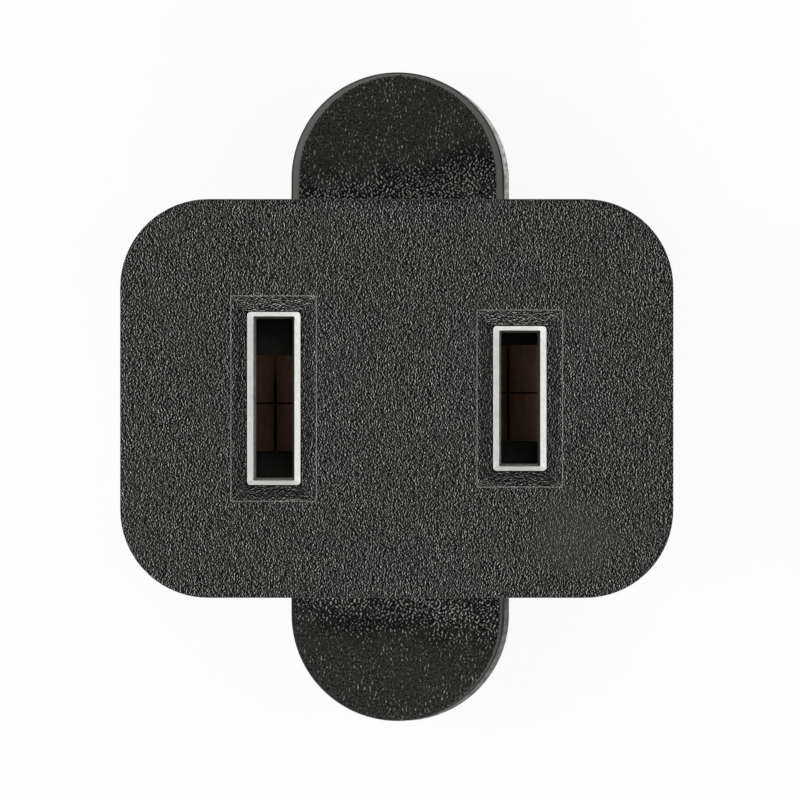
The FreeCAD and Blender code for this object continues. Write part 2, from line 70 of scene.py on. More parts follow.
MM = 0.001
WHITE = (1.0, 1.0, 1.0, 1.0)

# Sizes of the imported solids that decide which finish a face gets
FACE_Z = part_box("socket_body")[1].z
HALF_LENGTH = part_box("socket_body")[1].x
WALL_HALF_WIDTH = 10.29 * MM
SLOT_SPACING = 12.7 * MM
SLOT_HALF_WIDTH = 1.065 * MM
SLOT_HALF_LENGTHS = {"neutral": 4.245 * MM, "live": 3.515 * MM}
RIM_WIDTH = 0.31 * MM
RIM_END_WIDTH = 0.22 * MM
RIM_DEPTH = 0.35 * MM
RIM_LEDGE = 0.05 * MM
FUNNEL_MARGIN = 0.78 * MM
FUNNEL_DEPTH = 0.35 * MM
FRONT_WALL = 2.5 * MM
CORNER_RADIUS = 4.55 * MM
SKIN = 0.35 * MM
EAR_RADIUS = 5.75 * MM
EAR_CENTRE_Y = 11.81 * MM
EAR_FRONT_Z = 5.1 * MM
EAR_ROUNDING = 0.4 * MM
EAR_ROOT = 2.0 * MM
COVER_PLATE = 2.6 * MM
COVER_BEVEL = 0.25 * MM
SLACK = 0.01 * MM
WELD = 1e-7

# Parts of a face's normal: its Z is over FLAT on a level face and under UPRIGHT on a wall, and
# over SLOPING on the cover's bevels. SQUARE_ON tells two walls apart, CORNER_LEAN two slopes.
FLAT = 0.998
UPRIGHT = 0.3
SLOPING = 0.05
SQUARE_ON = 0.7
CORNER_LEAN = 0.1

# Levels of the noises between which a ramp runs
NOISE_SPAN = (0.3, 0.7)
EAR_CLOUD_SPAN = (0.35, 0.65)
TARNISH_SPAN = (0.4, 0.7)

# The grained face: painted highlights at the recesses' edges, painted shade or light on the recess
# slopes, and clouds of stronger and fainter grain
EDGE_LINE = 0.008 * MM
EDGE_LINE_END = 0.036 * MM
EDGE_LINE_TONES = (0.25, 0.8)
EDGE_LINE_CREST = 0.6
SLOTS_REACH = HALF_LENGTH * 0.7
# Painted shade on the recess slopes, and painted light (a share below 0) on the end slopes at +Y
RECESS_SHADE = 0.34
TOP_SLOPE_SHADE = -0.25
CLOUD_SIZE = 3.0 * MM
CLOUD_STRENGTHS = (0.93, 1.18)
CALM_CORE = 0.3
CALM_STRENGTH = 0.62
# Walls: the level counted as a full crest, and the scale and floor of their share of painted glint
WALL_CREST = 0.75
WALL_TONES = (0.7, 0.035)

# The ears: wrinkles by the wall, up to a wavy line that leans to +X, and a band of painted reflection
# on the rounding
EAR_CLOUD_SIZE = 2.2 * MM
WRINKLES_FULL = 0.8 * MM
WRINKLES_END = 3.6 * MM
WRINKLES_WAVE = 3.2 * MM
WRINKLES_LEAN = -0.15
FLECK_SWING = 0.03
FLECK_RISE = 0.2
SPECKLE_SIZE = 0.1 * MM
GROUND_TONES = (0.05, 1.0)
# Share of the ground tone left at the ears' roots, as painted shade
ROOT_SHADED_GROUND = 0.08
BAND_WIDTH = 0.12 * MM
BAND_SWELL = 0.24 * MM
BAND_LESS_BELOW = 0.2 * MM
BAND_WAVER = 0.2 * MM
BAND_FADE = 0.07 * MM
GRAIN_FADE = 0.06 * MM
DARK_LINE = 0.05 * MM
DARK_LINE_END = 0.12 * MM
LOWER_BAND_START = -3.0 * MM
LOWER_BAND_CUT = 0.25

# Polished plastic and brass
POLISH_PATCH = 0.25 * MM
POLISH_DEPTH = 0.003 * MM
ROLLED_LINE = 0.06 * MM
ROLLED_STRETCH = (1.0, 1.0, 0.05)
TARNISH_SIZE = 1.2 * MM
TARNISH = 0.7
RUBBED_BRIGHT = 0.05
TARNISHED_DULL = 0.08
DEEP_TARNISH = 0.15
DEEP_TARNISH_RISE = 3.0 * MM

# Floor, camera and lamps: each lamp's name, place, side and share of the soft box power
FLOOR_HALF = 1.5
FLOOR_DROP = 0.02 * MM
SENSOR_WIDTH = 36.0
LAMP_TARGET = (0.0, 0.0, 0.02)
LAMPS = (
    ("left", (-0.55, 0.0, 0.5), 0.35, 1.2),
    ("right", (0.55, 0.0, 0.5), 0.35, 0.65),
    ("near", (0.0, -0.55, 0.5), 0.35, 1.15),
    ("far", (0.0, 0.55, 0.5), 0.35, 0.5),
    ("camera", (0.02, 0.04, 0.9), 0.12, 0.35),
)


def length(name, about, default):
    """A size in metres for the panel."""
    return FloatProperty(name=name, description=about, default=default, min=0.0, unit="LENGTH",
                         precision=6)


def share(name, about, default):
    """A number from 0 to 1 for the panel."""
    return FloatProperty(name=name, description=about, default=default, min=0.0, max=1.0,
                         subtype="FACTOR")


def colour(name, about, default):
    """A linear colour for the panel."""
    return FloatVectorProperty(name=name, description=about, default=default, size=3, min=0.0,
                               max=1.0, subtype="COLOR")


def place(name, about, default):
    """A point in metres for the panel."""
    return FloatVectorProperty(name=name, description=about, default=default, size=3,
                               subtype="TRANSLATION", precision=5)


class PlugMouldingSettings(bpy.types.PropertyGroup):
    """Black plastic: its tones and the grain that the mould leaves."""

    # Valley is painted shade down in the grain, peak a painted glint on its ridges
    valley: colour("Valley", "Colour down in the grain", (0.001, 0.001, 0.001))
    peak: colour("Peak", "Colour of the grain's rubbed ridges", (0.56, 0.546, 0.523))
    ear_ground: colour("Ear ground", "Colour of the smooth ground on the ears", (0.045, 0.044, 0.041))
    # Painted glint colour of the flecks and wrinkles on the ears
    fleck: colour("Fleck", "Colour of the flecks on the ears", (0.42, 0.411, 0.393))
    # Painted reflection colour of the band on the ears' rounding
    rounding: colour("Rounding", "Colour of the polished band round the ears", (0.14, 0.139, 0.13))
    inside: colour("Inside", "Colour in the chambers and rails", (0.09, 0.086, 0.079))
    throat: colour("Throat", "Colour of the slots' inner walls", (0.05, 0.049, 0.045))
    # Painted light on the throat walls that face +X and +Y
    lit_throat: colour("Scuffed", "Colour of the two throat walls that blades rub", (0.34, 0.33, 0.3))
    gloss: share("Gloss", "Strength of the plastic's mirror light", 0.03)
    roughness: share("Roughness", "Roughness of the grained faces", 0.45)
    smooth_roughness: share("Smooth roughness", "Roughness of the smooth roundings", 0.5)
    grain_pitch: length("Grain pitch", "From one ridge of the grain to the next", 0.00014)
    grain_order: share("Grain order", "How much the ridges keep to one direction", 0.7)
    grain_burst: share("Grain stroke", "Waves in each short stroke of the grain", 0.65)
    grain_lean: FloatProperty(name="Grain lean", default=0.0, subtype="ANGLE",
                              description="Lean of the ridges from the slots' direction")
    curl_pitch: length("Curl pitch", "From one wave to the next in the ears' pattern", 0.00018)
    curl_burst: FloatProperty(name="Curl stroke", default=1.0, min=0.0,
                              description="Waves in each stroke of the ears' pattern")
    curl_order: share("Curl order", "How much the wrinkles at the ears' roots keep upright", 0.2)
    fleck_share: share("Fleck share", "Level above which the ears' waves show as flecks", 0.65)
    curl_share: share("Curl share", "The same level at the ears' roots", 0.52)
    valley_share: share("Valley share", "Part of the waves that is cut off as valley", 0.46)
    crest_share: share("Crest share", "Height of the waves that counts as a full crest", 0.78)
    even_tone: share("Even tone", "Mean rubbed share, which the calm patch keeps", 0.105)
    ridge_power: FloatProperty(name="Ridge sharpness", default=1.8, min=0.5,
                               description="Higher gives narrower bright ridges")
    grain_depth: length("Grain depth", "Depth of the grain", 0.00003)
    calm_spot: place("Calm spot", "Middle of the patch where the grain is fainter",
                     (0.0092, -0.007, 0.027))
    calm_radius: length("Calm radius", "Radius of that patch", 0.0032)


class PlugRimSettings(bpy.types.PropertyGroup):
    """The smooth bevel round each slot, painted pale as a reflection, and the cover's edge behind the
    ears, painted with a reflection.
    """

    # Painted reflection: the rims' pale colour
    pale: colour("Rim", "Colour of the smooth slot rims", (0.86, 0.87, 0.83))
    shadow_line: colour("Ledge", "Colour of the dark line round the rims", (0.002, 0.002, 0.002))
    rim_roughness: share("Rim roughness", "Roughness of the rims", 0.4)
    # Painted reflection on the cover's edge: bright behind the upper ear, faint behind the lower
    edge: colour("Cover edge", "Colour of the cover's edge behind the upper ear", (0.62, 0.62, 0.59))
    dull_edge: colour("Dull edge", "Colour of the cover's edge behind the lower ear",
                      (0.17, 0.17, 0.16))


class PlugBrassSettings(bpy.types.PropertyGroup):
    """The stamped contacts."""

    brass: colour("Brass", "Colour of the strip", (0.345, 0.232, 0.155))
    brass_roughness: share("Brass roughness", "Roughness of the strip", 0.5)
    rolling_depth: length("Rolling marks", "Depth of the fine lines along the strip", 0.000002)
    bright_from: length("Bright from", "Height over which the strip isn't tarnished dark", 0.013)


class PlugStageSettings(bpy.types.PropertyGroup):
    """Floor, lights and camera."""

    eye: place("Camera", "Where the camera stands", (0.00106, 0.00195, 0.477))
    target: place("Aim", "What the camera looks at", (0.000168, -0.000077, 0.027))
    focal_length: FloatProperty(name="Focal length", default=392.6, min=1.0,
                                description="Lens in millimetres on a 36 mm wide sensor")
    ambient: FloatProperty(name="Room light", default=0.12, min=0.0,
                           description="Even light from all round")
    soft_box_power: FloatProperty(name="Soft box power", default=2.0, min=0.0, unit="POWER",
                                  description="Power of each side soft box before its share")
    floor: colour("Floor", "Colour of the floor", (0.85, 0.85, 0.85))
    floor_glow: share("Floor whiteness", "How much of the floor's white hides its shading", 0.92)


# Numpy meshes

def welded_copy(node, name):
    """A copy of a solid with its loose triangles joined and its shading normals kept.

    Corners that lie within a tenth of a micrometre become one vertex: the coordinates are
    rounded to that step and each different row is kept once. A triangle that loses a side
    by this is left out.
    """
    source = node.data
    points = np.empty(len(source.vertices) * 3)
    source.vertices.foreach_get("co", points)
    points = points.reshape(-1, 3)
    corners = np.empty(len(source.loops), dtype=np.int32)
    source.loops.foreach_get("vertex_index", corners)
    normals = np.empty(len(source.loops) * 3)
    source.corner_normals.foreach_get("vector", normals)
    first, joined = np.unique(np.round(points / WELD).astype(np.int64), axis=0,
                              return_index=True, return_inverse=True)[1:]
    triangles = joined.reshape(-1)[corners].reshape(-1, 3)
    sides = (triangles != np.roll(triangles, 1, axis=1)).all(axis=1)
    mesh = bpy.data.meshes.new(name)
    mesh.from_pydata(points[first], [], triangles[sides])
    mesh.update()
    kept = normals.reshape(-1, 3, 3)[sides].reshape(-1, 3)
    mesh.normals_split_custom_set(kept)
    piece = bpy.data.objects.new(name, mesh)
    bpy.context.scene.collection.objects.link(piece)
    return piece


def faces_of(mesh):
    """Centres and normals of a triangle mesh, each as an array of one row a face."""
    centres = np.empty(len(mesh.polygons) * 3)
    normals = np.empty(len(mesh.polygons) * 3)
    mesh.polygons.foreach_get("center", centres)
    mesh.polygons.foreach_get("normal", normals)
    return centres.reshape(-1, 3), normals.reshape(-1, 3)


def in_slot_zone(centres, side_margin, end_margin):
    """True where a point lies within these margins of either slot, seen from the front."""
    inside = np.zeros(len(centres), dtype=bool)
    for side, half_length in zip((-1, 1), SLOT_HALF_LENGTHS.values()):
        across = np.abs(centres[:, 0] - side * SLOT_SPACING / 2) < SLOT_HALF_WIDTH + side_margin
        along = np.abs(centres[:, 1]) < half_length + end_margin
        inside |= across & along
    return inside


def depth_in_block(centres):
    """How far each point lies inside the block's outline, seen from the front.

    The outline is a rectangle with round corners. Past the corners' middles the distance is
    measured from the middle of the corner, elsewhere to the nearer side.
    """
    past_x = np.abs(centres[:, 0]) - (HALF_LENGTH - CORNER_RADIUS)
    past_y = np.abs(centres[:, 1]) - (WALL_HALF_WIDTH - CORNER_RADIUS)
    to_side = CORNER_RADIUS - np.maximum(past_x, past_y)
    to_corner = CORNER_RADIUS - np.hypot(past_x, past_y)
    return np.where((past_x > 0) & (past_y > 0), to_corner, to_side)


def paint_faces(piece, finishes, zones):
    """Give every face the first finish, then each zone its own, later ones over earlier ones."""
    place_of = {name: number for number, name in enumerate(finishes)}
    choice = np.zeros(len(piece.data.polygons), dtype=np.int32)
    for name, faces in zones:
        choice[faces] = place_of[name]
    for material in finishes.values():
        piece.data.materials.append(material)
    piece.data.polygons.foreach_set("material_index", choice)
    piece.data.update()


# Materials

# Numbers of the sockets whose names occur more than once on their node
MIX_FROM = 6
MIX_TO = 7
MIX_RESULT = 2
GABOR_HEADING = 4


class Nodes:
    """A material's node tree, with short ways to add and join nodes."""

    def __init__(self, name):
        self.material = bpy.data.materials.new(name)
        self.material.use_nodes = True
        self.tree = self.material.node_tree
        self.shader = self.tree.nodes["Principled BSDF"]
        self.object_place = self.add("ShaderNodeTexCoord").outputs["Object"]

    def add(self, kind, values=None, **settings):
        """Add a node, set its options, and set or join its inputs."""
        node = self.tree.nodes.new(kind)
        for option, value in settings.items():
            setattr(node, option, value)
        for socket, value in (values or {}).items():
            self.put(node.inputs[socket], value)
        return node

    def put(self, socket, value):
        """Join an output to a socket, or set the socket's own value."""
        if isinstance(value, bpy.types.NodeSocket):
            self.tree.links.new(value, socket)
        else:
            socket.default_value = value

    def math(self, operation, first, second=0.0, third=0.0):
        """The result of one sum on numbers or outputs."""
        return self.add("ShaderNodeMath", {0: first, 1: second, 2: third},
                        operation=operation).outputs[0]

    def ramp(self, value, low, high, to_low=0.0, to_high=1.0):
        """A smooth step from one number to another between two inputs."""
        return self.add("ShaderNodeMapRange", {
            "Value": value, "From Min": low, "From Max": high, "To Min": to_low,
            "To Max": to_high}, interpolation_type="SMOOTHSTEP").outputs["Result"]

    def noise(self, spot, size, detail=2.0):
        """Cloudy noise at a place, from 0 to 1, in clouds of a size in metres."""
        return self.add("ShaderNodeTexNoise", {
            "Vector": spot, "Scale": 1.0 / size, "Detail": detail}).outputs["Fac"]

    def blend(self, amount, none, full):
        """A colour between two colours or outputs, by an amount from 0 to 1."""
        return self.add("ShaderNodeMix", {0: amount, MIX_FROM: none, MIX_TO: full},
                        data_type="RGBA").outputs[MIX_RESULT]

    def axes(self):
        """The X, Y and Z of the place on the object."""
        return self.add("ShaderNodeSeparateXYZ", {0: self.object_place}).outputs

    def bump(self, height, depth):
        """Turn a height from 0 to 1 into relief of a real depth."""
        node = self.add("ShaderNodeBump", {"Height": height, "Distance": depth, "Strength": 1.0})
        self.put(self.shader.inputs["Normal"], node.outputs["Normal"])

    def surface(self, **values):
        """Set the main shader's own sockets."""
        for socket, value in values.items():
            self.put(self.shader.inputs[socket.replace("_", " ")], value)


def rgba(rgb, strength=1.0):
    """A colour with its opacity, made darker or lighter by a strength."""
    return (*(min(channel * strength, 1.0) for channel in rgb), 1.0)


def ridges(nodes, pitch, burst, heading, order, low, high):
    """Ridges of the grain from 0 to 1 on faces that look along Z, side by side along a heading.

    Gabor noise over X and Y: short bursts of a plane wave scattered at random. The less
    order it has, the further each burst's direction strays. What lies under low is valley.
    """
    waves = nodes.add("ShaderNodeTexGabor", {
        "Vector": nodes.object_place, "Scale": 1.0 / (pitch * burst),
        "Frequency": burst, "Anisotropy": order, GABOR_HEADING: heading},
        gabor_type="2D").outputs["Value"]
    return nodes.add("ShaderNodeMapRange", {
        "Value": waves, "From Min": low, "From Max": high}).outputs["Result"]


def wall_ridges(nodes, look):
    """The same ridges through all three directions, for faces that look any way."""
    waves = nodes.add("ShaderNodeTexGabor", {
        "Vector": nodes.object_place, "Scale": 1.0 / (look.grain_pitch * look.grain_burst),
        "Frequency": look.grain_burst, "Anisotropy": 0.0}, gabor_type="3D").outputs["Value"]
    return nodes.add("ShaderNodeMapRange", {
        "Value": waves, "From Min": look.valley_share, "From Max": WALL_CREST}).outputs["Result"]


def slot_edge_highlights(nodes):
    """1 along the outer edges and mitred corners of both recesses, where pale lines are painted as
    highlights, 0 elsewhere.

    The distance to a recess's outline is the larger of |x| past its half width and |y| past
    its half length. A mitre is where the two are equal, inside the outline.
    """
    apart = nodes.axes()
    half_width = SLOT_HALF_WIDTH + RIM_WIDTH + RIM_LEDGE + FUNNEL_MARGIN
    beyond = RIM_END_WIDTH + RIM_LEDGE + FUNNEL_MARGIN
    on_right = nodes.math("GREATER_THAN", apart["X"], 0.0)
    shorter = SLOT_HALF_LENGTHS["live"] - SLOT_HALF_LENGTHS["neutral"]
    half_length = nodes.math("MULTIPLY_ADD", on_right, shorter,
                             SLOT_HALF_LENGTHS["neutral"] + beyond)
    from_middle = nodes.math("SUBTRACT", nodes.math("ABSOLUTE", apart["X"]), SLOT_SPACING / 2)
    past_side = nodes.math("SUBTRACT", nodes.math("ABSOLUTE", from_middle), half_width)
    past_end = nodes.math("SUBTRACT", nodes.math("ABSOLUTE", apart["Y"]), half_length)
    outline = nodes.math("ABSOLUTE", nodes.math("MAXIMUM", past_side, past_end))
    mitre = nodes.math("ABSOLUTE", nodes.math("SUBTRACT", past_side, past_end))
    mitre = nodes.math("MAXIMUM", mitre, past_end)
    line = nodes.math("MINIMUM", outline, nodes.math("ADD", mitre, EDGE_LINE))
    on_face = nodes.ramp(apart["Z"], FACE_Z - FUNNEL_DEPTH, FACE_Z - FUNNEL_DEPTH / 2)
    return nodes.math("MULTIPLY", nodes.ramp(line, EDGE_LINE, EDGE_LINE_END, 1.0, 0.0), on_face)


def calm_patch(nodes, look):
    """How strong the grain is: about 1 in clouds, and less in a round patch low on the right."""
    away = nodes.add("ShaderNodeVectorMath", {
        0: nodes.object_place, 1: look.calm_spot}, operation="DISTANCE").outputs["Value"]
    near_patch = nodes.ramp(away, look.calm_radius * CALM_CORE, look.calm_radius, CALM_STRENGTH, 1.0)
    cloudy = nodes.noise(nodes.object_place, CLOUD_SIZE)
    return nodes.math("MULTIPLY", near_patch, nodes.ramp(cloudy, *NOISE_SPAN, *CLOUD_STRENGTHS))


def recess_painted_shade(nodes, shade):
    """Painted shade on the ridges in the recesses near the slots: 1 on the face, less by a share
    lower down, and more where the share is below 0, as painted light.
    """
    apart = nodes.axes()
    near_slots = nodes.math("LESS_THAN", nodes.math("ABSOLUTE", apart["X"]), SLOTS_REACH)
    lower = nodes.ramp(apart["Z"], FACE_Z - FUNNEL_DEPTH / 2, FACE_Z - SLACK, shade, 0.0)
    return nodes.math("SUBTRACT", 1.0, nodes.math("MULTIPLY", lower, near_slots))


def painted_glint_tone(nodes, look, height, glinting):
    """Relief from the height, and a colour between valley and peak: the peak colour is a painted
    glint on the ridges, the valley colour painted shade down in the grain.
    """
    nodes.bump(height, look.grain_depth)
    tone = nodes.blend(glinting, rgba(look.valley), rgba(look.peak))
    nodes.surface(Base_Color=tone, Roughness=look.roughness, Specular_IOR_Level=look.gloss)


def grained_plastic(name, look, heading, recess_shade=RECESS_SHADE):
    """Black plastic with moulded leather grain, its ridges painted pale as glints and its valleys
    painted dark as shade.

    Each ridge's height to a power is its share of painted glint. Faint grain draws this towards
    its mean, so a calm patch is as bright as the rest.
    """
    nodes = Nodes(name)
    height = ridges(nodes, look.grain_pitch, look.grain_burst, heading, look.grain_order,
                    look.valley_share, look.crest_share)
    glinting = nodes.math("POWER", height, look.ridge_power)
    glinting = nodes.math("MULTIPLY_ADD", nodes.math("SUBTRACT", glinting, look.even_tone),
                        calm_patch(nodes, look), look.even_tone)
    # Painted shade down the recess slopes by the slots
    glinting = nodes.math("MULTIPLY", glinting, recess_painted_shade(nodes, recess_shade))
    # Painted highlights: pale lines along the recesses' edges and mitres
    edges = nodes.math("MULTIPLY", slot_edge_highlights(nodes),
                       nodes.ramp(height, 0.0, EDGE_LINE_CREST, *EDGE_LINE_TONES))
    painted_glint_tone(nodes, look, height, nodes.math("MAXIMUM", glinting, edges))
    return nodes.material


def wall_plastic(name, look):
    """The same black plastic for walls and for the cover's back, with the same painted glints on its
    ridges and plain noise as its relief.
    """
    nodes = Nodes(name)
    glinting = nodes.math("POWER", wall_ridges(nodes, look), look.ridge_power)
    relief = nodes.noise(nodes.object_place, look.grain_pitch, detail=1.0)
    painted_glint_tone(nodes, look, relief, nodes.math("MULTIPLY_ADD", glinting, *WALL_TONES))
    return nodes.material


def inset_from_ear(nodes, apart):
    """How far a point lies inside an ear's outline, and how much the outline there faces X.

    The outline is a half circle of the ear's radius with straight sides down to the wall.
    """
    past_centre = nodes.math("MAXIMUM", nodes.math(
        "SUBTRACT", nodes.math("ABSOLUTE", apart["Y"]), EAR_CENTRE_Y), 0.0)
    reach = nodes.math("SQRT", nodes.math(
        "ADD", nodes.math("POWER", nodes.math("ABSOLUTE", apart["X"]), 2.0),
        nodes.math("POWER", past_centre, 2.0)))
    sideways = nodes.math("DIVIDE", nodes.math("ABSOLUTE", apart["X"]), reach)
    return nodes.math("SUBTRACT", EAR_RADIUS, reach), sideways


def near_root(nodes, apart, cloudy):
    """1 on the ears by the block's wall and 0 further out.

    The distance from the wall is made wavy by the clouds, and shorter towards +X.
    """
    out_from_wall = nodes.math("SUBTRACT", nodes.math("ABSOLUTE", apart["Y"]), WALL_HALF_WIDTH)
    wavy = nodes.math("MULTIPLY_ADD", nodes.math("SUBTRACT", cloudy, 0.5), WRINKLES_WAVE,
                      out_from_wall)
    wavy = nodes.math("MULTIPLY_ADD", apart["X"], WRINKLES_LEAN, wavy)
    return nodes.ramp(wavy, WRINKLES_FULL, WRINKLES_END, 1.0, 0.0)


def ear_crests(nodes, look, cloudy, at_root):
    """Flecks and wrinkles from 0 to 1: what stands over a level in one wave pattern.

    At the roots the level sinks and the waves lose their direction.
    """
    order = nodes.math("MULTIPLY_ADD", at_root, look.curl_order - look.grain_order,
                       look.grain_order)
    level = nodes.ramp(cloudy, *EAR_CLOUD_SPAN, look.fleck_share + FLECK_SWING,
                       look.fleck_share - FLECK_SWING)
    level = nodes.math("SUBTRACT", level, nodes.math(
        "MULTIPLY", at_root, look.fleck_share - look.curl_share))
    return ridges(nodes, look.curl_pitch, look.curl_burst, look.grain_lean, order, level,
                  nodes.math("ADD", level, FLECK_RISE))


def painted_reflection_band(nodes, apart, fine):
    """How far a point lies past the band of painted reflection round an ear, and 1 on the band.

    The band, a painted reflection on the ear's rounding, is widest at the sides and has a dark line
    outside it.
    The lower ear has a narrower one, on its right part only.
    """
    inset, sideways = inset_from_ear(nodes, apart)
    is_lower = nodes.math("LESS_THAN", apart["Y"], 0.0)
    width = nodes.math("MULTIPLY_ADD", sideways, BAND_SWELL, BAND_WIDTH)
    width = nodes.math("SUBTRACT", width, nodes.math("MULTIPLY", is_lower, BAND_LESS_BELOW))
    past_band = nodes.math("SUBTRACT", inset, nodes.math(
        "MULTIPLY_ADD", fine, BAND_WAVER, width))
    on_band = nodes.math("MULTIPLY", nodes.ramp(inset, DARK_LINE, DARK_LINE_END),
                         nodes.ramp(past_band, -BAND_FADE, 0.0, 1.0, 0.0))
    lower_left = nodes.math("MULTIPLY", is_lower, nodes.ramp(
        apart["X"], LOWER_BAND_START, 0.0, 1.0, LOWER_BAND_CUT))
    return past_band, nodes.math("MULTIPLY", on_band, nodes.math("SUBTRACT", 1.0, lower_left))


def flecked_plastic(name, look):
    """Smooth black plastic with upright flecks, which crowd into wrinkles at the ears' roots; the
    flecks' and wrinkles' pale colour is a painted glint.
    """
    nodes = Nodes(name)
    apart = nodes.axes()
    cloudy = nodes.noise(nodes.object_place, EAR_CLOUD_SIZE)
    fine = nodes.noise(nodes.object_place, SPECKLE_SIZE, detail=1.0)
    at_root = near_root(nodes, apart, cloudy)
    past_band, on_band = painted_reflection_band(nodes, apart, fine)
    height = nodes.math("MULTIPLY", ear_crests(nodes, look, cloudy, at_root),
                        nodes.ramp(past_band, -GRAIN_FADE, GRAIN_FADE))
    nodes.bump(height, look.grain_depth)
    # Painted shade: the ground darkens towards the block's wall at the ears' roots
    paleness = nodes.math("MULTIPLY", nodes.ramp(fine, *NOISE_SPAN, *GROUND_TONES),
                          nodes.ramp(at_root, 0.0, 1.0, 1.0, ROOT_SHADED_GROUND))
    tone = nodes.blend(paleness, rgba(look.valley), rgba(look.ear_ground))
    # Painted glints: flecks and wrinkles take the pale fleck colour
    tone = nodes.blend(height, tone, rgba(look.fleck))
    # Painted reflection: the band along the ears' rounding
    tone = nodes.blend(on_band, tone, rgba(look.rounding))
    nodes.surface(Base_Color=tone, Roughness=look.roughness, Specular_IOR_Level=look.gloss)
    return nodes.material


def smooth_plastic(name, tone, roughness, gloss=0.15, mottling=0.15):
    """Plastic from a polished part of the mould, a little uneven in tone."""
    nodes = Nodes(name)
    streaks = nodes.noise(nodes.object_place, POLISH_PATCH, detail=3.0)
    nodes.bump(streaks, POLISH_DEPTH)
    mottled = nodes.blend(nodes.ramp(streaks, *NOISE_SPAN), rgba(tone, 1.0 - mottling),
                          rgba(tone, 1.0 + mottling))
    nodes.surface(Base_Color=mottled, Roughness=roughness, Specular_IOR_Level=gloss)
    return nodes.material


def stamped_brass(name, look):
    """Brass strip: fine rolling lines along its length, slight tarnish, dark near the channel."""
    nodes = Nodes(name)
    lines = nodes.add("ShaderNodeMapping", {
        "Vector": nodes.object_place, "Scale": ROLLED_STRETCH}).outputs["Vector"]
    nodes.bump(nodes.noise(lines, ROLLED_LINE), look.rolling_depth)
    tarnish = nodes.noise(nodes.object_place, TARNISH_SIZE, detail=3.0)
    tone = nodes.blend(nodes.ramp(tarnish, *TARNISH_SPAN), rgba(look.brass),
                       rgba(look.brass, TARNISH))
    up_from_channel = nodes.ramp(nodes.axes()["Z"], look.bright_from - DEEP_TARNISH_RISE,
                                 look.bright_from)
    tone = nodes.blend(up_from_channel, rgba(look.brass, DEEP_TARNISH), tone)
    nodes.surface(Base_Color=tone, Metallic=1.0,
                  Roughness=nodes.ramp(tarnish, *NOISE_SPAN, look.brass_roughness - RUBBED_BRIGHT,
                                       look.brass_roughness + TARNISHED_DULL))
    return nodes.material


# Operators

class PLUG_OT_socket_body(bpy.types.Operator):
    """Dress the moulded body: grained faces, flecked ears, smooth roundings and pale rims"""

    bl_idname = "plug.socket_body"
    bl_label = "Socket body"

    def execute(self, context):
        look = context.scene.plug_moulding
        rims = context.scene.plug_rims
        piece = welded_copy(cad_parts["socket_body"], "moulded_body")
        finishes = {
            "grained": grained_plastic("grained_black", look, look.grain_lean),
            "grained across": grained_plastic(
                "cross_grained_black", look, look.grain_lean + math.pi / 2),
            # Painted light: brighter ridges on the recesses' end slopes at +Y
            "grained across top": grained_plastic(
                "lit_cross_grained_black", look, look.grain_lean + math.pi / 2,
                recess_shade=TOP_SLOPE_SHADE),
            "wall": wall_plastic("wall_black", look),
            "flecked": flecked_plastic("flecked_black", look),
            "smooth": smooth_plastic("smooth_black", look.ear_ground, look.smooth_roughness),
            "inside": smooth_plastic("inside_black", look.inside, look.smooth_roughness),
            "throat": smooth_plastic("throat_black", look.throat, look.smooth_roughness,
                                     mottling=0.6),
            "lit_throat": smooth_plastic("lit_throat_black", look.lit_throat, look.smooth_roughness,
                                      mottling=0.5),
            "rim": smooth_plastic("pale_rim", rims.pale, rims.rim_roughness, mottling=0.06),
            "ledge": smooth_plastic("ledge_black", rims.shadow_line, look.smooth_roughness,
                                    gloss=0.02),
        }
        paint_faces(piece, finishes, self.zones(*faces_of(piece.data)))
        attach(piece, "socket")
        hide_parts("socket_body")
        return {"FINISHED"}

    def zones(self, centres, normals):
        """Which faces get which finish, later ones over earlier ones."""
        x, y, z = centres.T
        recess_floor = FACE_Z - FUNNEL_DEPTH
        rim_floor = recess_floor - RIM_DEPTH
        in_recess = in_slot_zone(centres, RIM_WIDTH + RIM_LEDGE + FUNNEL_MARGIN,
                                 RIM_END_WIDTH + RIM_LEDGE + FUNNEL_MARGIN)
        in_rim = in_slot_zone(centres, RIM_WIDTH, RIM_END_WIDTH)
        within_walls = depth_in_block(centres) > SKIN
        below = z < recess_floor - SLACK
        yield "wall", np.abs(normals[:, 2]) < UPRIGHT
        end_slopes = in_recess & (z > recess_floor + SLACK) & (
            np.abs(normals[:, 1]) > np.abs(normals[:, 0]) + CORNER_LEAN)
        yield "grained across", end_slopes
        yield "grained across top", end_slopes & (y > 0)
        yield "inside", below & within_walls
        yield "ledge", in_recess & (np.abs(z - recess_floor) < SLACK)
        # Painted reflection: the slot rims are painted pale
        yield "rim", in_rim & below & (z > rim_floor)
        in_throat = in_rim & (z < rim_floor) & (z > FACE_Z - FRONT_WALL + SLACK)
        yield "throat", in_throat
        # Painted light: the throat walls facing +X and +Y are lighter than the rest
        yield "lit_throat", in_throat & ((normals[:, 0] > SQUARE_ON) | (normals[:, 1] > SQUARE_ON))
        on_ears = (np.abs(y) > WALL_HALF_WIDTH) & (z < EAR_FRONT_Z + EAR_ROOT) & (
            np.abs(x) < EAR_RADIUS + SLACK)
        on_ears &= (np.abs(normals[:, 1]) < FLAT) | (np.abs(y) > EAR_CENTRE_Y)
        yield "flecked", on_ears
        yield "smooth", on_ears & (z < EAR_FRONT_Z - EAR_ROUNDING - SLACK)


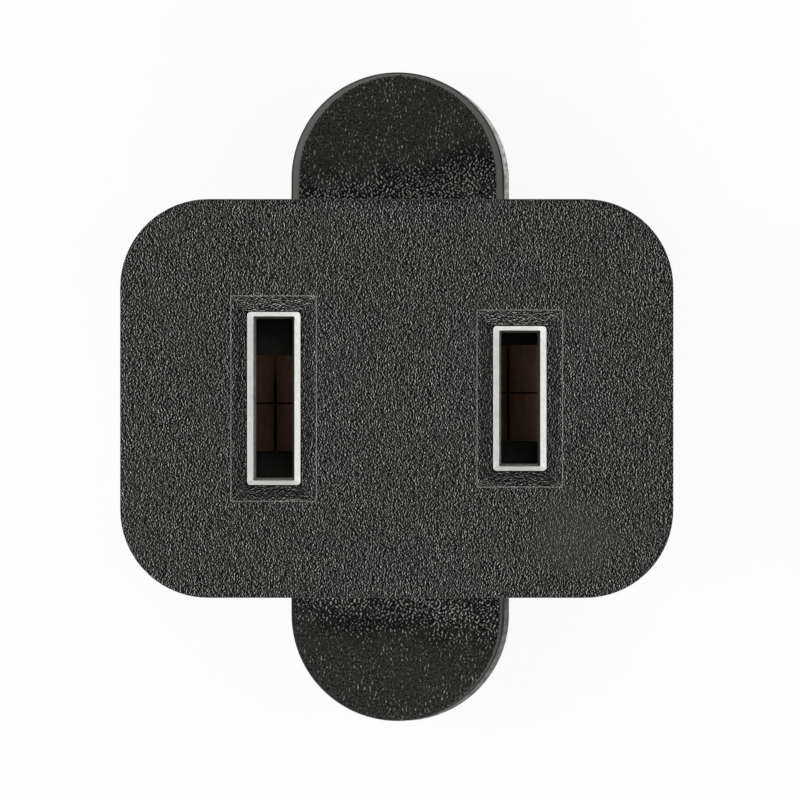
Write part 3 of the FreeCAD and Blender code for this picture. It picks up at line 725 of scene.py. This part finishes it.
class PLUG_OT_slide_cover(bpy.types.Operator):
    """Dress the sliding cover: grained back, smooth bevels and tongue, and a painted reflection on
    the ear edge
    """

    bl_idname = "plug.slide_cover"
    bl_label = "Slide cover"

    def execute(self, context):
        look = context.scene.plug_moulding
        rims = context.scene.plug_rims
        piece = welded_copy(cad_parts["slide_cover"], "sliding_cover")
        finishes = {
            "grained": wall_plastic("grained_cover_black", look),
            "smooth": smooth_plastic("smooth_cover_black", look.ear_ground,
                                     look.smooth_roughness),
            "pale edge": smooth_plastic("pale_cover_edge", rims.edge, rims.rim_roughness,
                                        mottling=0.35),
            "inside": smooth_plastic("inside_cover_black", look.inside, look.smooth_roughness),
            "dull edge": smooth_plastic("dull_cover_edge", rims.dull_edge, rims.rim_roughness,
                                        mottling=0.35),
        }
        paint_faces(piece, finishes, self.zones(*faces_of(piece.data)))
        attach(piece, "cover")
        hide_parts("slide_cover")
        return {"FINISHED"}

    def zones(self, centres, normals):
        """Which faces get which finish, later ones over earlier ones."""
        y, z = centres[:, 1], centres[:, 2]
        lean = np.abs(normals[:, 2])
        sloping = (lean > SLOPING) & (lean < FLAT)
        behind_ears = np.abs(y) > WALL_HALF_WIDTH + COVER_BEVEL
        in_front = z > COVER_PLATE - COVER_BEVEL
        on_edge = sloping & behind_ears & in_front
        yield "smooth", sloping | (z > COVER_PLATE)
        # Painted reflection on the edge behind the ears, bright at +Y and faint at -Y
        yield "pale edge", on_edge & (y > 0)
        yield "dull edge", on_edge & (y <= 0)
        yield "inside", (normals[:, 2] > FLAT) & ~behind_ears & in_front


class PLUG_OT_contacts(bpy.types.Operator):
    """Give both stamped contacts their brass"""

    bl_idname = "plug.contacts"
    bl_label = "Contacts"

    def execute(self, context):
        brass = stamped_brass("stamped_brass", context.scene.plug_brass)
        for name in ("neutral_contact", "live_contact"):
            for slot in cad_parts[name].material_slots:
                slot.material = brass
        return {"FINISHED"}


def look_from(item, eye, target):
    """Stand a camera or lamp at eye, turned to target, with +Y up in its picture."""
    back = (Vector(eye) - Vector(target)).normalized()
    right = Vector((0.0, 1.0, 0.0)).cross(back).normalized()
    up = back.cross(right)
    turn = Matrix((right, up, back)).transposed()
    item.matrix_world = Matrix.Translation(eye) @ turn.to_4x4()


class PLUG_OT_stage(bpy.types.Operator):
    """Lay the floor, hang the soft boxes and stand the camera where the photograph was taken"""

    bl_idname = "plug.stage"
    bl_label = "Stage"

    def execute(self, context):
        settings = context.scene.plug_stage
        self.make_camera(context.scene, settings)
        self.make_floor(context.scene, settings)
        self.make_world(context.scene, settings)
        self.make_lights(context.scene, settings)
        return {"FINISHED"}

    def make_camera(self, scene, settings):
        """A long lens, almost straight above the face."""
        lens = bpy.data.cameras.new("camera")
        lens.sensor_width = SENSOR_WIDTH
        lens.lens = settings.focal_length
        lens.clip_start = 0.01
        lens.clip_end = 20.0
        camera = bpy.data.objects.new("camera", lens)
        scene.collection.objects.link(camera)
        look_from(camera, settings.eye, settings.target)
        scene.camera = camera

    def make_floor(self, scene, settings):
        """A white floor that glows where the camera sees it, so that little shading shows."""
        mesh = bpy.data.meshes.new("floor")
        square = FLOOR_HALF * np.array([(-1, -1), (1, -1), (1, 1), (-1, 1)])
        square = np.column_stack([square, np.full(4, -FLOOR_DROP)])
        mesh.from_pydata(square, [], [(0, 1, 2, 3)])
        floor = bpy.data.objects.new("floor", mesh)
        scene.collection.objects.link(floor)
        nodes = Nodes("floor_white")
        nodes.surface(Base_Color=rgba(settings.floor), Roughness=0.9)
        seen = self.seen_directly(nodes.tree)
        glow = nodes.add("ShaderNodeEmission", {"Strength": 1.0})
        amount = nodes.math("MULTIPLY", seen, settings.floor_glow)
        mix = nodes.add("ShaderNodeMixShader", {
            0: amount, 1: nodes.shader.outputs[0], 2: glow.outputs[0]})
        nodes.put(nodes.tree.nodes["Material Output"].inputs["Surface"], mix.outputs[0])
        floor.data.materials.append(nodes.material)
        floor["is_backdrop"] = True

    def seen_directly(self, tree):
        """1 for what the camera sees straight, mirrored or through glass."""
        path = tree.nodes.new("ShaderNodeLightPath").outputs
        seen = path["Is Camera Ray"]
        for ray in ("Is Glossy Ray", "Is Transmission Ray"):
            larger = tree.nodes.new("ShaderNodeMath")
            larger.operation = "MAXIMUM"
            tree.links.new(seen, larger.inputs[0])
            tree.links.new(path[ray], larger.inputs[1])
            seen = larger.outputs[0]
        return seen

    def make_world(self, scene, settings):
        """Faint even light all round, and plain white where the camera looks past the floor."""
        world = bpy.data.worlds.new("studio")
        world.use_nodes = True
        tree = world.node_tree
        even = tree.nodes["Background"]
        even.inputs["Strength"].default_value = settings.ambient
        even.inputs["Color"].default_value = WHITE
        white = tree.nodes.new("ShaderNodeBackground")
        white.inputs["Color"].default_value = WHITE
        seen = self.seen_directly(tree)
        mix = tree.nodes.new("ShaderNodeMixShader")
        tree.links.new(seen, mix.inputs[0])
        tree.links.new(even.outputs[0], mix.inputs[1])
        tree.links.new(white.outputs[0], mix.inputs[2])
        tree.links.new(mix.outputs[0], tree.nodes["World Output"].inputs["Surface"])
        scene.world = world
        scene.view_settings.view_transform = "Standard"

    def make_lights(self, scene, settings):
        """Four soft boxes round the plug, strongest on the left, and one behind the camera."""
        for name, spot, side, part in LAMPS:
            lamp = bpy.data.lights.new(f"soft_box_{name}", "AREA")
            lamp.shape = "RECTANGLE"
            lamp.size = side
            lamp.size_y = side
            lamp.energy = settings.soft_box_power * part
            box = bpy.data.objects.new(f"soft_box_{name}", lamp)
            scene.collection.objects.link(box)
            look_from(box, spot, LAMP_TARGET)


class PLUG_PT_panel(bpy.types.Panel):
    """Sidebar panel with the plug's pieces and finishes"""

    bl_idname = "PLUG_PT_panel"
    bl_label = "Female plug"
    bl_space_type = "VIEW_3D"
    bl_region_type = "UI"
    bl_category = "Plug"

    def draw(self, context):
        """A button for each operator, and a box for each group of settings."""
        for operator in OPERATORS:
            self.layout.operator(operator.bl_idname)
        for group in SETTINGS:
            box = self.layout.box()
            for name in SETTINGS[group].__annotations__:
                box.prop(getattr(context.scene, group), name)


SETTINGS = {
    "plug_moulding": PlugMouldingSettings,
    "plug_rims": PlugRimSettings,
    "plug_brass": PlugBrassSettings,
    "plug_stage": PlugStageSettings,
}
OPERATORS = (PLUG_OT_socket_body, PLUG_OT_slide_cover, PLUG_OT_contacts, PLUG_OT_stage)


def register():
    """Add the settings, operators and panel."""
    for group, settings in SETTINGS.items():
        bpy.utils.register_class(settings)
        setattr(bpy.types.Scene, group, PointerProperty(type=settings))
    for item in (*OPERATORS, PLUG_PT_panel):
        bpy.utils.register_class(item)


def unregister():
    """Take them out again, in the other order."""
    for item in (PLUG_PT_panel, *reversed(OPERATORS)):
        bpy.utils.unregister_class(item)
    for group, settings in reversed(SETTINGS.items()):
        delattr(bpy.types.Scene, group)
        bpy.utils.unregister_class(settings)


def write_sizes():
    """Put the box of the solids and the box of the dressed plug side by side as plain lists, which
    are not kept.
    """
    corners = {"cad": box_at_load, "visual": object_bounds()}
    plain = {name: [list(low), list(high)] for name, (low, high) in corners.items()}


def main():
    """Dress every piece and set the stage."""
    register()
    bpy.ops.plug.socket_body()
    bpy.ops.plug.slide_cover()
    bpy.ops.plug.contacts()
    bpy.ops.plug.stage()
    write_sizes()


if __name__ == "__main__":
    main()
